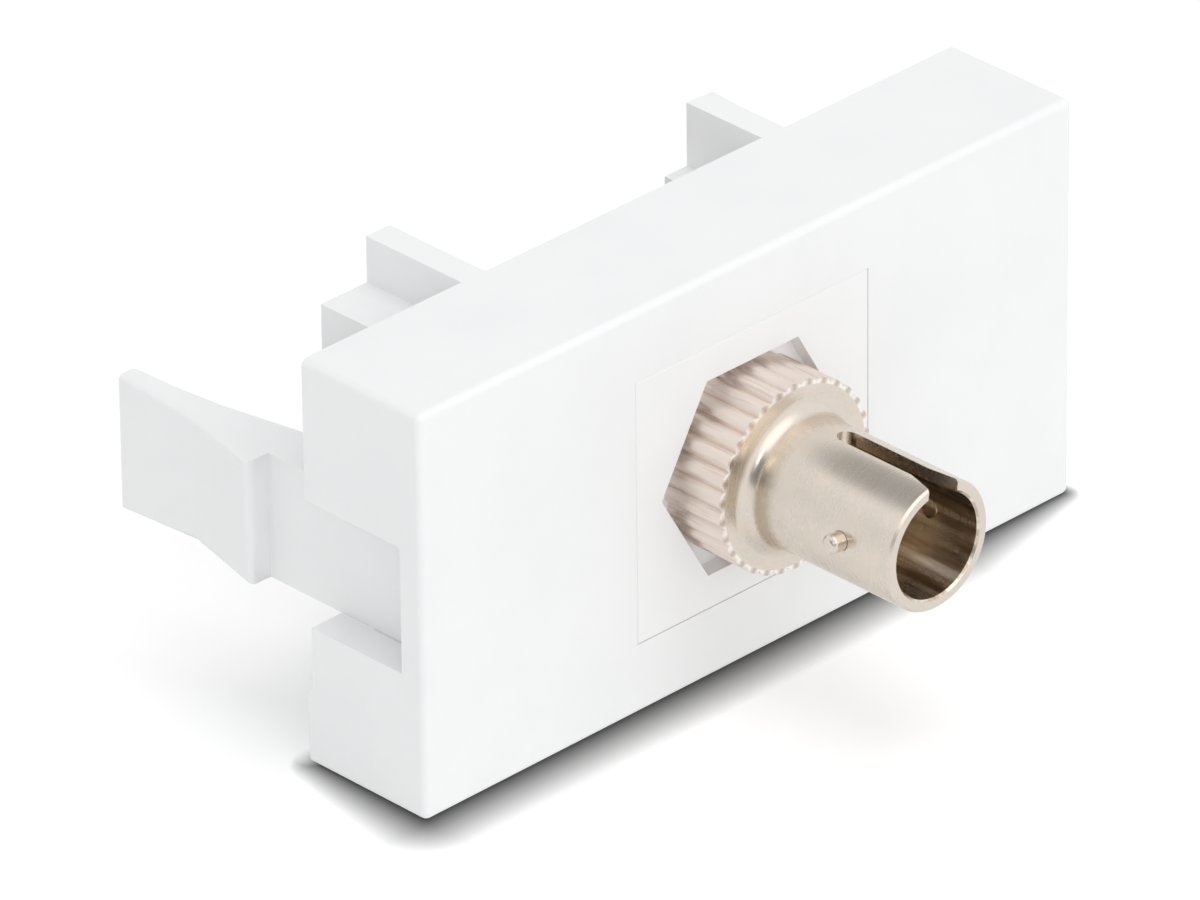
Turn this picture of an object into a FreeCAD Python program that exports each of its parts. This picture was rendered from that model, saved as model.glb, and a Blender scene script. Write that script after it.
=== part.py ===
"""Snap-in half module with a flush keystone insert and a bayonet fibre adapter.

The plate's front face lies at y = 0 with the wall behind it at +y. The long side runs along x,
z points up, and the origin is where the adapter's axis meets the front face.
"""
import FreeCAD, Part
import math
import os
from types import SimpleNamespace

import Sketcher

# Driving sizes in millimetres: name, value, meaning
SIZES = [
    ("plate_length", 45.0, "long side of the front face"),
    ("plate_height", 22.5, "short side of the front face"),
    ("plate_depth", 8.1, "front face to the open back of the cover"),
    ("front_wall", 1.5, "thickness of the cover's front wall"),
    ("end_wall", 2.0, "thickness of the two short walls"),
    ("long_wall", 1.6, "thickness of the two long walls"),
    ("edge_round", 0.4, "rounding of the cover's outer edges"),
    ("rib_thick", 1.6, "thickness of the two tall ribs"),
    ("rib_round", 0.9, "rounding of the right rib's rear outer edge"),
    ("left_rib_back", 14.95, "front face to the back of the left rib"),
    ("right_rib_back", 13.35, "front face to the back of the right rib"),
    ("rib_ease", 0.3, "rounding of the left rib's and block's rear edges"),
    ("latch_room", 2.2, "room between the insert and the left rib"),
    ("hook_room", 0.8, "room between the insert and the right rib"),
    ("block_width", 3.1, "width of the low block outside the left rib"),
    ("block_height", 17.4, "height of the low block outside the left rib"),
    ("catch_width", 1.55, "width of the catch inside the right rib"),
    ("catch_height", 15.4, "height of the catch inside the right rib"),
    ("catch_face", 8.0, "front face to the two catch faces"),
    ("notch_height", 7.0, "height of the notch in each short wall"),
    ("arm_side_gap", 0.1, "clearance between an arm and its notch, each side"),
    ("arm_inset", 2.05, "short wall's outside to the arm's outer face"),
    ("arm_thick", 1.9, "thickness of the flexing part of an arm"),
    ("arm_gusset", 0.6, "gusset where an arm leaves the front wall"),
    ("barb_face", 12.8, "front face to the barb's catching face"),
    ("barb_proud", 1.3, "height of the barb over the arm"),
    ("barb_flat", 0.5, "length of the barb's top"),
    ("barb_ramp", 4.6, "length of the barb's ramp"),
    ("barb_round", 0.35, "rounding of the barb's edge"),
    ("tab_length", 5.3, "finger tab behind the barb's ramp"),
    ("tab_offset", 0.2, "height of the finger tab over the arm"),
    ("tab_flare", 0.35, "growth of the tab's half height towards its tip"),
    ("tab_thick", 1.35, "thickness of the finger tab at its middle"),
    ("tab_tip", 1.0, "thickness of the finger tab at its tip"),
    ("tab_round", 0.35, "rounding of the tab's inner tip"),
    ("head_thick", 2.65, "thickness of the arm behind the barb's face"),
    ("head_lead", 0.6, "length over which the arm thickens to its head"),
    ("arm_ease", 0.3, "rounding of the barb's and tab's outer edges"),
    ("relief_depth", 0.3, "relief in the left wall's rear edge below its notch"),
    ("relief_height", 3.75, "length of that relief down from the notch"),
    ("relief_slope", 0.35, "height of the relief's sloping end"),
    ("insert_length", 16.0, "insert along the plate's long side"),
    ("insert_height", 14.6, "insert along the plate's short side"),
    ("insert_gap", 0.05, "seam round the insert, each side"),
    ("nut_room_wide", 1.1, "room beyond the washer in the insert's cavity, left and right"),
    ("nut_room_high", 0.4, "room beyond the washer in the insert's cavity, above and below"),
    ("insert_ease", 0.05, "chamfer of the insert's front edges"),
    ("seat_gap", 0.05, "play between parts that stop against each other"),
    ("recess_gap", 0.3, "room between the flange and the recess's flats, each side"),
    ("recess_depth", 1.0, "depth of the hexagonal recess"),
    ("panel_thick", 1.8, "insert's wall between the flange and the washer"),
    ("shank_gap", 0.1, "clearance round the shank in the insert"),
    ("flat_gap", 0.3, "clearance between the shank's flat and the hole's flat"),
    ("hook_width", 0.65, "insert's fixed hook beyond its side"),
    ("latch_width", 6.8, "width of the insert's latch lever"),
    ("latch_thick", 1.1, "thickness of the latch lever"),
    ("latch_root", 1.4, "length of the latch lever's root"),
    ("latch_proud", 3.5, "latch barb's height over the insert's side"),
    ("latch_tail", 6.1, "latch lever behind the catch face"),
    ("tail_gap", 0.25, "clearance between the latch tail and the left rib"),
    ("window_gap", 0.6, "room round the latch in the left rib's window"),
    ("adapter_turn", 6.5, "turn of the whole adapter in its hole, in degrees"),
    ("flange_rise", 1.7, "height of the knurled flange over the barrel"),
    ("flange_thick", 3.9, "knurled flange, front to back"),
    ("knurl_teeth", 30, "grooves round the flange"),
    ("knurl_depth", 0.25, "depth of a knurl groove"),
    ("knurl_width", 0.86, "width of a knurl groove at the outside"),
    ("knurl_swell", 0.7, "radius of the rounded sides of a knurl groove"),
    ("barrel_diameter", 6.9, "bayonet barrel outside"),
    ("barrel_wall", 0.65, "wall of the bayonet barrel"),
    ("barrel_length", 9.7, "flange or shank end to the barrel's mouth"),
    ("barrel_fillet", 0.8, "concave rounding at the barrel's foot"),
    ("mouth_ease", 0.12, "chamfers of the barrel's mouth"),
    ("key_width", 1.2, "key slot"),
    ("key_length", 7.0, "key slot from the mouth to its round end"),
    ("key_mouth", 2.0, "key slot at the mouth"),
    ("key_flare", 1.6, "length over which the key slot widens"),
    ("pin_diameter", 1.0, "bayonet pin"),
    ("pin_proud", 0.85, "bayonet pin beyond the barrel"),
    ("pin_from_mouth", 3.3, "barrel's mouth to the pin's axis"),
    ("pin_ease", 0.18, "chamfer of the pin's end"),
    ("press_gap", 0.02, "gap left between pressed parts"),
    ("flange_step", 0.65, "height of the flange over the threaded shank"),
    ("shank_flat", 0.5, "depth of the flat on the shank"),
    ("shank_spare", 0.3, "shank beyond the nut"),
    ("shank_ease", 0.3, "chamfer of the shank's end"),
    ("washer_thick", 0.5, "lock washer"),
    ("washer_spread", 0.9, "lock washer's outside over the flange's"),
    ("washer_teeth", 10, "gaps between the washer's inner teeth"),
    ("washer_gap_width", 0.9, "width of a gap between the washer's teeth"),
    ("washer_gap_depth", 0.55, "depth of a gap between the washer's teeth"),
    ("nut_spread", 0.7, "panel nut across flats over the flange"),
    ("nut_thick", 2.4, "panel nut"),
    ("nut_chamfer", 0.4, "panel nut's chamfer along the axis at a corner"),
    ("thread_gap", 0.03, "gap between shank and nut"),
    ("shoulder_thick", 0.8, "rear barrel's shoulder"),
    ("shoulder_step", 0.5, "height of the shank over the rear barrel's shoulder"),
    ("shank_wall", 1.2, "shank's wall round the rear body's spigot"),
    ("spigot_length", 4.0, "rear body's spigot in the shank"),
    ("sleeve_length", 11.4, "alignment sleeve"),
    ("sleeve_diameter", 3.2, "alignment sleeve outside"),
    ("sleeve_bore", 2.5, "alignment sleeve inside, the ferrule's size"),
    ("sleeve_slit", 0.4, "slit along the alignment sleeve"),
    ("sleeve_play", 0.05, "room round and behind the alignment sleeve"),
    ("holder_diameter", 4.4, "sleeve holder outside"),
    ("holder_lip", 0.4, "sleeve holder's end lip"),
    ("holder_mouth", 3.0, "hole in the sleeve holder's end lip"),
    ("body_lip", 0.4, "body's lip in front of the sleeve holder"),
    ("body_lip_bore", 3.4, "hole in the body's lip"),
]
NEAR = 1e-3


class Size:
    """A length that carries its number and the sheet formula that it comes from."""

    def __init__(self, number, formula):
        self.number = float(number)
        self.formula = formula

    def joined(self, other, sign, number):
        return Size(number, f"({self.formula} {sign} {size(other).formula})")

    def __add__(self, other):
        return self.joined(other, "+", self.number + size(other).number)

    def __sub__(self, other):
        return self.joined(other, "-", self.number - size(other).number)

    def __mul__(self, other):
        return self.joined(other, "*", self.number * size(other).number)

    def __truediv__(self, other):
        return self.joined(other, "/", self.number / size(other).number)

    def __rmul__(self, other):
        return size(other) * self

    def __neg__(self):
        return self * -1


def size(value):
    """Turn a plain number into a Size, and leave a Size as it is."""
    return value if isinstance(value, Size) else Size(value, f"({value:g})")


doc = FreeCAD.newDocument("snap_in_fibre_module")
sheet = doc.addObject("Spreadsheet::Sheet", "Sizes")
for row, (name, value, meaning) in enumerate(SIZES, start=1):
    sheet.set(f"A{row}", name)
    sheet.set(f"B{row}", f"{value}")
    sheet.set(f"C{row}", meaning)
    sheet.setAlias(f"B{row}", name)
doc.recompute()
S = SimpleNamespace(**{name: Size(value, f"Sizes.{name}") for name, value, meaning in SIZES})

# How far a cutting outline runs past the solid that it cuts
PAST = size(1)

# Widths across the adapter that several pieces share
barrel_bore = S.barrel_diameter - S.barrel_wall * 2
flange_diameter = S.barrel_diameter + S.flange_rise * 2
shank_diameter = flange_diameter - S.flange_step * 2
washer_diameter = flange_diameter + S.washer_spread
spigot_diameter = shank_diameter - S.shank_wall * 2

# Places along the adapter's axis that several pieces share
flange_back = S.recess_depth
flange_front = flange_back - S.flange_thick
shank_end = flange_back + S.panel_thick + S.washer_thick + S.nut_thick + S.shank_spare
middle = (flange_front + shank_end) / 2
holder_half = S.sleeve_length / 2 + S.sleeve_play + S.holder_lip
floor_half = holder_half + S.press_gap + S.body_lip

# Places along the plate's long side that several pieces share
insert_end = S.insert_length / 2
left_rib_face = -insert_end - S.latch_room
left_rib_far = left_rib_face - S.rib_thick
right_rib_face = insert_end + S.hook_room
arm_half_height = S.notch_height / 2 - S.arm_side_gap


def bind(thing, path, value):
    """Tie a property or constraint to the sheet."""
    thing.setExpression(path, size(value).formula)


def new_body(label):
    """Start an empty body that is named after its piece."""
    body = doc.addObject("PartDesign::Body", label)
    body.Label = label
    return body


def origin_part(body, role):
    """Find one of the body's own origin planes or axes."""
    return next(o for o in body.Origin.OriginFeatures if o.Role == role)


def new_sketch(body, plane, name, offset=0):
    """Start a sketch on an origin plane, moved along that plane's normal by offset."""
    sketch = body.newObject("Sketcher::SketchObject", name)
    sketch.AttachmentSupport = [(origin_part(body, plane), "")]
    sketch.MapMode = "FlatFace"
    sketch.AttachmentOffset = FreeCAD.Placement(FreeCAD.Vector(0, 0, size(offset).number), FreeCAD.Rotation())
    bind(sketch, "AttachmentOffset.Base.z", offset)
    return sketch


def fix_point(sketch, line, end, x, y):
    """Hold one end of a line at a place given by two sizes."""
    for kind, axis, value in (("DistanceX", -2, size(x)), ("DistanceY", -1, size(y))):
        if value.number == 0:
            sketch.addConstraint(Sketcher.Constraint("PointOnObject", line, end, axis))
        else:
            index = sketch.addConstraint(Sketcher.Constraint(kind, line, end, value.number))
            bind(sketch, f"Constraints[{index}]", value)


def arc_between(start, end, radius):
    """Make the arc that runs anticlockwise from one point to another."""
    chord = end - start
    rise = math.sqrt(radius ** 2 - (chord.Length / 2) ** 2)
    left = FreeCAD.Vector(-chord.y, chord.x, 0).normalize()
    centre = (start + end) / 2 + left * rise
    first, last = (math.atan2(p.y - centre.y, p.x - centre.x) for p in (start, end))
    return Part.ArcOfCircle(Part.Circle(centre, FreeCAD.Vector(0, 0, 1), radius), first, last)


def outline(sketch, corners, bulges=None):
    """Draw a closed outline whose corners are pairs of sizes.

    A side whose number is in bulges is an arc of that radius, with its centre on the side's left.
    """
    bulges = bulges or {}
    points = [FreeCAD.Vector(size(x).number, size(y).number, 0) for x, y in corners]
    first = sketch.GeometryCount
    count = len(points)
    for i, point in enumerate(points):
        following = points[(i + 1) % count]
        if i in bulges:
            sketch.addGeometry(arc_between(point, following, bulges[i].number), False)
        else:
            sketch.addGeometry(Part.LineSegment(point, following), False)
    for i in range(count):
        following = first + (i + 1) % count
        sketch.addConstraint(Sketcher.Constraint("Coincident", first + i, 2, following, 1))
    for i, (x, y) in enumerate(corners):
        fix_point(sketch, first + i, 1, x, y)
    for i, radius in bulges.items():
        index = sketch.addConstraint(Sketcher.Constraint("Radius", first + i, radius.number))
        bind(sketch, f"Constraints[{index}]", radius)


def block(sketch, x0, y0, x1, y1):
    """Draw a rectangle between two corners."""
    outline(sketch, [(x0, y0), (x1, y0), (x1, y1), (x0, y1)])


def ring(sketch, diameter, x=0, y=0):
    """Draw a circle of a given diameter."""
    centre = FreeCAD.Vector(size(x).number, size(y).number, 0)
    radius = size(diameter) / 2
    index = sketch.addGeometry(Part.Circle(centre, FreeCAD.Vector(0, 0, 1), radius.number), False)
    fix_point(sketch, index, 3, x, y)
    constraint = sketch.addConstraint(Sketcher.Constraint("Radius", index, radius.number))
    bind(sketch, f"Constraints[{constraint}]", radius)


def hexagon(sketch, flats):
    """Draw a hexagon with corners on the sketch's x axis."""
    reach = size(flats) / math.sqrt(3)
    side = size(flats) / 2
    outline(sketch, [(reach, 0), (reach / 2, side), (-reach / 2, side),
                     (-reach, 0), (-reach / 2, -side), (reach / 2, -side)])


def solid(body, kind, sketch, name, length, reverse=False, both=False):
    """Add a Pad or Pocket of a sketch, on one side of it or half on each side."""
    feature = body.newObject(f"PartDesign::{kind}", name)
    feature.Profile = sketch
    feature.SideType = "Symmetric" if both else "One side"
    feature.Reversed = reverse
    bind(feature, "Length", length)
    sketch.Visibility = False
    doc.recompute()
    return feature


def turned(body, kind, sketch, name, axis="Y_Axis"):
    """Turn a sketch round one of the body's axes as a Revolution or a Groove."""
    feature = body.newObject(f"PartDesign::{kind}", name)
    feature.Profile = sketch
    feature.ReferenceAxis = (origin_part(body, axis), [""])
    feature.Angle = 360
    doc.recompute()
    return feature


def repeated(body, feature, name, count):
    """Repeat a feature evenly round the y axis."""
    pattern = body.newObject("PartDesign::PolarPattern", name)
    pattern.Originals = [feature]
    pattern.Axis = (origin_part(body, "Y_Axis"), [""])
    pattern.Angle = 360
    bind(pattern, "Occurrences", count)
    body.Tip = pattern
    doc.recompute()
    return pattern


def places(edge):
    """Sample points along an edge."""
    first, last = edge.ParameterRange
    return [edge.valueAt(first + (last - first) * k / 4) for k in range(5)]


def at(edge, **wanted):
    """Tell whether the whole edge lies at the given x, y, z or radius r about the y axis."""
    for name, value in wanted.items():
        for point in places(edge):
            here = math.hypot(point.x, point.z) if name == "r" else getattr(point, name)
            if abs(here - size(value).number) > NEAR:
                return False
    return True


def eased(body, kind, name, amount, test):
    """Fillet or chamfer the edges of the body's tip that pass a test."""
    tip = body.Tip
    names = [f"Edge{i}" for i, edge in enumerate(tip.Shape.Edges, start=1) if test(edge)]
    if not names:
        raise RuntimeError(f"{body.Label}: no edges for {name}")
    feature = body.newObject(f"PartDesign::{kind}", name)
    feature.Base = (tip, names)
    bind(feature, "Radius" if kind == "Fillet" else "Size", amount)
    doc.recompute()
    return feature


def cover_shell():
    """Open-backed box with its insert opening, end notches, ribs, block and catch."""
    body = new_body("cover_shell")
    half_length = S.plate_length / 2
    half_height = S.plate_height / 2

    face = new_sketch(body, "XZ_Plane", "face")
    block(face, -half_length, -half_height, half_length, half_height)
    solid(body, "Pad", face, "box", S.plate_depth, reverse=True)
    eased(body, "Fillet", "outer_edges", S.edge_round,
          lambda e: not at(e, y=S.plate_depth))

    hollow = new_sketch(body, "XZ_Plane", "hollow", -S.front_wall)
    inner_x = half_length - S.end_wall
    inner_z = half_height - S.long_wall
    block(hollow, -inner_x, -inner_z, inner_x, inner_z)
    solid(body, "Pocket", hollow, "hollowed", S.plate_depth - S.front_wall)

    right_rib_far = right_rib_face + S.rib_thick
    behind_front = -S.front_wall / 2
    left_rib = new_sketch(body, "XZ_Plane", "left_rib", behind_front)
    block(left_rib, left_rib_far, -half_height, left_rib_face, half_height)
    solid(body, "Pad", left_rib, "left_rib_pad", S.left_rib_back - S.front_wall / 2, reverse=True)
    left_block = new_sketch(body, "XZ_Plane", "left_block", behind_front)
    block(left_block, left_rib_far - S.block_width, -S.block_height / 2, left_rib_far, S.block_height / 2)
    solid(body, "Pad", left_block, "left_block_pad", S.left_rib_back - S.front_wall / 2, reverse=True)
    right_rib = new_sketch(body, "XZ_Plane", "right_rib", behind_front)
    block(right_rib, right_rib_face, -half_height, right_rib_far, half_height)
    solid(body, "Pad", right_rib, "right_rib_pad", S.right_rib_back - S.front_wall / 2, reverse=True)
    eased(body, "Fillet", "right_rib_corner", S.rib_round,
          lambda e: at(e, x=right_rib_far, y=S.right_rib_back))
    eased(body, "Fillet", "left_rib_edges", S.rib_ease, lambda e: at(e, y=S.left_rib_back))
    catch = new_sketch(body, "XZ_Plane", "catch", -S.catch_face)
    block(catch, right_rib_face - S.catch_width, -S.catch_height / 2, right_rib_face, S.catch_height / 2)
    solid(body, "Pad", catch, "catch_pad", S.right_rib_back - S.catch_face, reverse=True)

    window = new_sketch(body, "XZ_Plane", "window", -S.front_wall)
    window_half = S.latch_width / 2 + S.window_gap
    block(window, left_rib_far, -window_half, left_rib_face, window_half)
    solid(body, "Pocket", window, "latch_window", S.catch_face - S.front_wall)

    opening = new_sketch(body, "XZ_Plane", "opening")
    open_x = insert_end + S.insert_gap
    open_z = S.insert_height / 2 + S.insert_gap
    block(opening, -open_x, -open_z, open_x, open_z)
    solid(body, "Pocket", opening, "insert_opening", S.front_wall)

    for side, name in ((-1, "left"), (1, "right")):
        notch = new_sketch(body, "XZ_Plane", f"{name}_notch", -S.front_wall)
        block(notch, side * (inner_x - S.insert_gap), -S.notch_height / 2,
              side * (half_length + PAST), S.notch_height / 2)
        solid(body, "Pocket", notch, f"{name}_notch_cut", S.plate_depth - S.front_wall)

    relief = new_sketch(body, "YZ_Plane", "relief", -half_length - PAST)
    relief_top = -S.notch_height / 2 + PAST
    relief_end = -S.notch_height / 2 - S.relief_height
    relief_face = S.plate_depth - S.relief_depth
    outline(relief, [(S.plate_depth + PAST, relief_top), (relief_face, relief_top),
                     (relief_face, relief_end + S.relief_slope),
                     (S.plate_depth, relief_end), (S.plate_depth + PAST, relief_end)])
    solid(body, "Pocket", relief, "relief_cut", S.end_wall + PAST * 2, reverse=True)
    return body


def snap_arm(side, name):
    """Flexing arm with a barb on its outside and a flared finger tab behind it."""
    body = new_body(name)
    outer = S.plate_length / 2 - S.arm_inset
    ramp_start = S.barb_face + S.barb_flat
    ramp_end = ramp_start + S.barb_ramp
    tip = ramp_end + S.tab_length
    tab_outer = outer + S.tab_offset
    tab_inner = tab_outer - S.tab_tip
    head_inner = outer - S.head_thick
    corners = [
        (outer, S.front_wall / 2),
        (outer, S.barb_face),
        (outer + S.barb_proud, S.barb_face),
        (outer + S.barb_proud, ramp_start),
        (tab_outer, ramp_end),
        (tab_outer, tip),
        (tab_inner, tip),
        (tab_outer - S.tab_thick, tip - S.tab_length / 2),
        (head_inner, S.barb_face),
        (outer - S.arm_thick, S.barb_face - S.head_lead),
        (outer - S.arm_thick, S.front_wall + S.arm_gusset),
        (outer - S.arm_thick - S.arm_gusset, S.front_wall),
        (outer - S.arm_thick - S.arm_gusset, S.front_wall / 2),
    ]
    profile = new_sketch(body, "XY_Plane", f"{name}_profile")
    outline(profile, [(side * x, y) for x, y in corners])
    flared_half = arm_half_height + S.tab_flare
    solid(body, "Pad", profile, f"{name}_blank", flared_half * 2, both=True)

    beyond = flared_half + PAST
    for up, word in ((1, "upper"), (-1, "lower")):
        waste = new_sketch(body, "YZ_Plane", f"{name}_{word}_waste")
        outline(waste, [(0, up * beyond), (0, up * arm_half_height), (ramp_end, up * arm_half_height),
                        (tip, up * flared_half), (tip, up * beyond)])
        solid(body, "Pocket", waste, f"{name}_{word}_trim", S.plate_length * 2, both=True)

    def is_outside_edge(edge):
        """Pick the long edges of the ramp and the tab, above and below."""
        spots = places(edge)
        long_enough = abs(spots[-1].y - spots[0].y) > S.barb_flat.number
        outside = min(side * spot.x for spot in spots) > tab_outer.number - NEAR
        return long_enough and outside

    eased(body, "Fillet", f"{name}_barb_edge", S.barb_round,
          lambda e: at(e, x=side * (outer + S.barb_proud), y=S.barb_face))
    eased(body, "Fillet", f"{name}_tip_edge", S.tab_round,
          lambda e: at(e, x=side * tab_inner, y=tip))
    eased(body, "Fillet", f"{name}_outside_edges", S.arm_ease, is_outside_edge)
    return body


def cover_plate():
    """The whole moulding: the shell fused with its two arms."""
    pieces = [cover_shell(), snap_arm(-1, "left_arm"), snap_arm(1, "right_arm")]
    moulding = doc.addObject("Part::MultiFuse", "cover_plate")
    moulding.Label = "cover_plate"
    moulding.Shapes = pieces
    moulding.Refine = True
    doc.recompute()
    return moulding


def keystone_insert():
    """Flush insert with a hexagonal recess, a hole with a flat, a fixed hook and a latch lever."""
    body = new_body("keystone_insert")
    half_height = S.insert_height / 2
    rear = S.catch_face - S.seat_gap
    ledge = S.front_wall + S.seat_gap
    cavity_x = washer_diameter / 2 + S.nut_room_wide
    cavity_z = washer_diameter / 2 + S.nut_room_high
    side_middle = (insert_end + cavity_x) / 2

    face = new_sketch(body, "XZ_Plane", "insert_face")
    block(face, -insert_end, -half_height, insert_end, half_height)
    solid(body, "Pad", face, "insert_block", rear, reverse=True)
    eased(body, "Chamfer", "insert_front_edges", S.insert_ease, lambda e: at(e, y=0))

    recess = new_sketch(body, "XZ_Plane", "recess")
    hexagon(recess, flange_diameter + S.recess_gap * 2)
    solid(body, "Pocket", recess, "hex_recess", S.recess_depth)

    cavity = new_sketch(body, "XZ_Plane", "cavity", -(S.recess_depth + S.panel_thick))
    block(cavity, -cavity_x, -cavity_z, cavity_x, cavity_z)
    solid(body, "Pocket", cavity, "nut_cavity", rear)

    hole = new_sketch(body, "XZ_Plane", "hole")
    ring(hole, shank_diameter + S.shank_gap * 2)
    solid(body, "Pocket", hole, "shank_hole", rear)
    key = new_sketch(body, "XZ_Plane", "hole_flat", -S.recess_depth)
    flat_z = -(shank_diameter / 2 - S.shank_flat + S.flat_gap)
    block(key, -shank_diameter / 2, -(shank_diameter / 2 + S.shank_gap * 2), shank_diameter / 2, flat_z)
    solid(body, "Pad", key, "hole_flat_pad", S.panel_thick, reverse=True)

    hook = new_sketch(body, "XZ_Plane", "hook", -ledge)
    block(hook, side_middle, -half_height, insert_end + S.hook_width, half_height)
    solid(body, "Pad", hook, "fixed_hook", rear - ledge, reverse=True)

    barb_x = -(insert_end + S.latch_proud)
    tail_outer = left_rib_face + S.tail_gap
    tail_inner = tail_outer + S.latch_thick
    tail_end = S.catch_face + S.latch_tail
    root_outer = -(insert_end + S.latch_thick)
    lever = new_sketch(body, "XY_Plane", "lever")
    outline(lever, [
        (-side_middle, ledge),
        (root_outer, ledge),
        (barb_x, rear - S.latch_thick),
        (barb_x, rear),
        (tail_outer, rear),
        (tail_outer, tail_end),
        (tail_inner, tail_end),
        (tail_inner, rear - S.latch_thick / 2),
        (-(insert_end + S.latch_thick / 2), ledge + S.latch_root),
        (-side_middle, ledge + S.latch_root),
    ])
    solid(body, "Pad", lever, "latch_lever", S.latch_width, both=True)
    return body


def cut_barrel(body, mouth, side):
    """Cut the key slot and the two pin holes into a barrel that opens towards side * y."""
    end = mouth - side * (S.key_length - S.key_width / 2)
    flare_end = mouth - side * S.key_flare
    beyond = mouth + side * PAST
    half_slot = S.key_width / 2
    half_mouth = S.key_mouth / 2
    slot = new_sketch(body, "XY_Plane", "key_slot")
    outline(slot, [(-half_slot, end), (-half_slot, flare_end), (-half_mouth, mouth), (-half_mouth, beyond),
                   (half_mouth, beyond), (half_mouth, mouth), (half_slot, flare_end), (half_slot, end)])
    solid(body, "Pocket", slot, "key_slot_cut", S.barrel_diameter, reverse=True)
    slot_end = new_sketch(body, "XY_Plane", "key_slot_end")
    ring(slot_end, S.key_width, 0, end)
    solid(body, "Pocket", slot_end, "key_slot_end_cut", S.barrel_diameter, reverse=True)
    pins = new_sketch(body, "YZ_Plane", "pin_holes")
    ring(pins, S.pin_diameter + S.press_gap * 2, mouth - side * S.pin_from_mouth, 0)
    solid(body, "Pocket", pins, "pin_hole_cut", S.barrel_diameter * 2, both=True)


def with_adapter(body, extra=0, along=size(0)):
    """Turn a finished body about the y axis as the whole adapter is turned, and move it along."""
    turn = S.adapter_turn + extra
    rotation = FreeCAD.Rotation(FreeCAD.Vector(0, 1, 0), turn.number)
    body.Placement = FreeCAD.Placement(FreeCAD.Vector(0, along.number, 0), rotation)
    bind(body, "Placement.Rotation.Angle", turn)
    bind(body, "Placement.Base.y", along)
    return body


def front_body():
    """Knurled flange with the front barrel before it and the threaded shank behind it."""
    body = new_body("front_body")
    mouth = flange_front - S.barrel_length
    barrel_r = S.barrel_diameter / 2
    bore_r = barrel_bore / 2
    lip_front = middle - floor_half
    lip_back = lip_front + S.body_lip
    socket = shank_end - S.spigot_length
    profile = new_sketch(body, "XY_Plane", "profile")
    outline(profile, [
        (bore_r, mouth),
        (barrel_r, mouth),
        (barrel_r, flange_front),
        (flange_diameter / 2, flange_front),
        (flange_diameter / 2, flange_back),
        (shank_diameter / 2, flange_back),
        (shank_diameter / 2, shank_end),
        (spigot_diameter / 2, shank_end),
        (spigot_diameter / 2, socket),
        (S.holder_diameter / 2, socket),
        (S.holder_diameter / 2, lip_back),
        (S.body_lip_bore / 2, lip_back),
        (S.body_lip_bore / 2, lip_front),
        (bore_r, lip_front),
    ])
    turned(body, "Revolution", profile, "turned_body")
    eased(body, "Fillet", "barrel_foot", S.barrel_fillet, lambda e: at(e, r=barrel_r, y=flange_front))
    eased(body, "Chamfer", "mouth_edges", S.mouth_ease, lambda e: at(e, y=mouth))
    eased(body, "Chamfer", "shank_edge", S.shank_ease, lambda e: at(e, r=shank_diameter / 2, y=shank_end))

    groove = new_sketch(body, "XZ_Plane", "knurl_groove", -flange_front)
    bind(groove, "AttachmentOffset.Rotation.Angle", S.adapter_turn)
    outer_r = flange_diameter / 2
    half_groove = S.knurl_width / 2
    outline(groove, [(outer_r - S.knurl_depth, 0), (outer_r, half_groove), (outer_r + PAST, half_groove),
                     (outer_r + PAST, -half_groove), (outer_r, -half_groove)],
            bulges={0: S.knurl_swell, 4: S.knurl_swell})
    cut = solid(body, "Pocket", groove, "knurl_cut", S.flange_thick)
    repeated(body, cut, "knurl", S.knurl_teeth)

    flat = new_sketch(body, "XZ_Plane", "shank_flat", -flange_back)
    block(flat, -shank_diameter / 2, -shank_diameter / 2, shank_diameter / 2,
          -(shank_diameter / 2 - S.shank_flat))
    solid(body, "Pocket", flat, "shank_flat_cut", shank_end - flange_back)
    cut_barrel(body, mouth, -1)
    return with_adapter(body)


def rear_body():
    """Rear barrel with a shoulder and a spigot that is pressed into the shank."""
    body = new_body("rear_body")
    mouth = shank_end + S.barrel_length
    shoulder_back = shank_end + S.shoulder_thick
    shoulder_r = shank_diameter / 2 - S.shoulder_step
    barrel_r = S.barrel_diameter / 2
    bore_r = barrel_bore / 2
    lip_back = middle + floor_half
    lip_front = lip_back - S.body_lip
    spigot_r = spigot_diameter / 2 - S.press_gap
    spigot_front = shank_end - S.spigot_length + S.press_gap
    profile = new_sketch(body, "XY_Plane", "profile")
    outline(profile, [
        (bore_r, mouth),
        (barrel_r, mouth),
        (barrel_r, shoulder_back),
        (shoulder_r, shoulder_back),
        (shoulder_r, shank_end),
        (spigot_r, shank_end),
        (spigot_r, spigot_front),
        (S.holder_diameter / 2, spigot_front),
        (S.holder_diameter / 2, lip_front),
        (S.body_lip_bore / 2, lip_front),
        (S.body_lip_bore / 2, lip_back),
        (bore_r, lip_back),
    ])
    turned(body, "Revolution", profile, "turned_body")
    eased(body, "Chamfer", "mouth_edges", S.mouth_ease, lambda e: at(e, y=mouth))
    cut_barrel(body, mouth, 1)
    return with_adapter(body)


def bayonet_pin(name, side, along):
    """Pin pressed through the barrel's wall, with a chamfered outer end."""
    body = new_body(name)
    root = barrel_bore / 2 + S.press_gap
    length = S.barrel_diameter / 2 + S.pin_proud - root
    section = new_sketch(body, "YZ_Plane", "section", root)
    ring(section, S.pin_diameter)
    solid(body, "Pad", section, "shaft", length)
    eased(body, "Chamfer", "eased_end", S.pin_ease, lambda e: at(e, x=root + length))
    return with_adapter(body, 0 if side > 0 else 180, along)


def placed_along(body, along):
    """Move a finished body along the adapter's axis."""
    body.Placement = FreeCAD.Placement(FreeCAD.Vector(0, along.number, 0), FreeCAD.Rotation())
    bind(body, "Placement.Base.y", along)
    return body


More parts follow.
